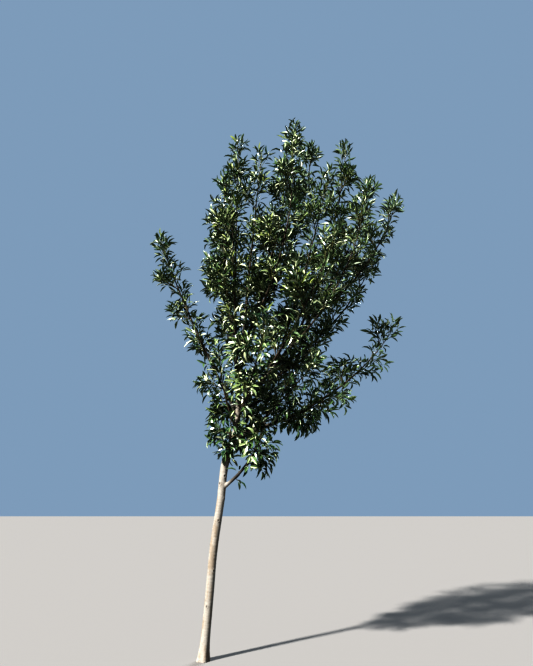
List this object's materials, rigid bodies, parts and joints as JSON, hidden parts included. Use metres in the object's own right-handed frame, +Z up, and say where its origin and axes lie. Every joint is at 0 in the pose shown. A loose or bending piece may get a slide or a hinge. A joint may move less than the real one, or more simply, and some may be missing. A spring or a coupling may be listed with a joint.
{
  "type": "callery pear tree",
  "caption": "Young callery pear in leaf: a leaning single trunk, a low right bough and a vase of steep shoots that end in spiky tips.",
  "frame": {"origin": "middle of the flat cut under the trunk, at ground level, which is the mount named ground", "axes": "+Z up; seen from -Y the crown leans to +X and its single long arm stands out to -X"},
  "size_m": [2.0506, 1.5812, 4.2241],
  "materials": {
    "trunk_bark": "smooth pale bark, dull",
    "bough_bark": "smooth grey-brown bark, dull",
    "foliage": "glossy dark green leaves"
  },
  "bodies": {
    "root": {"bough_back_high": "bough_bark", "bough_back_left": "bough_bark", "bough_back_low": "bough_bark", "bough_back_mid": "bough_bark", "bough_back_skirt": "bough_bark", "bough_crown_top": "bough_bark", "bough_front_high": "bough_bark", "bough_front_left": "bough_bark", "bough_front_low": "bough_bark", "bough_front_mid": "bough_bark", "bough_front_skirt": "bough_bark", "bough_heart": "bough_bark", "bough_leader": "bough_bark", "bough_left_arm": "bough_bark", "bough_left_leader": "bough_bark", "bough_left_low": "bough_bark", "bough_left_mid": "bough_bark", "bough_left_shoulder": "bough_bark", "bough_left_skirt": "bough_bark", "bough_low_bough": "bough_bark", "bough_right_back": "bough_bark", "bough_right_bough": "bough_bark", "bough_right_front": "bough_bark", "bough_right_high": "bough_bark", "bough_right_low": "bough_bark", "bough_right_plume": "bough_bark", "bough_top_back": "bough_bark", "bough_under_right": "bough_bark", "bough_upper_right": "bough_bark", "foliage_back_high": "foliage", "foliage_back_left": "foliage", "foliage_back_low": "foliage", "foliage_back_mid": "foliage", "foliage_back_skirt": "foliage", "foliage_crown_top": "foliage", "foliage_front_high": "foliage", "foliage_front_left": "foliage", "foliage_front_low": "foliage", "foliage_front_mid": "foliage", "foliage_front_skirt": "foliage", "foliage_heart": "foliage", "foliage_leader": "foliage", "foliage_left_arm": "foliage", "foliage_left_leader": "foliage", "foliage_left_low": "foliage", "foliage_left_mid": "foliage", "foliage_left_shoulder": "foliage", "foliage_left_skirt": "foliage", "foliage_low_bough": "foliage", "foliage_right_back": "foliage", "foliage_right_bough": "foliage", "foliage_right_front": "foliage", "foliage_right_high": "foliage", "foliage_right_low": "foliage", "foliage_right_plume": "foliage", "foliage_top_back": "foliage", "foliage_under_right": "foliage", "foliage_upper_right": "foliage", "trunk": "trunk_bark"}
  },
  "joints": []
}
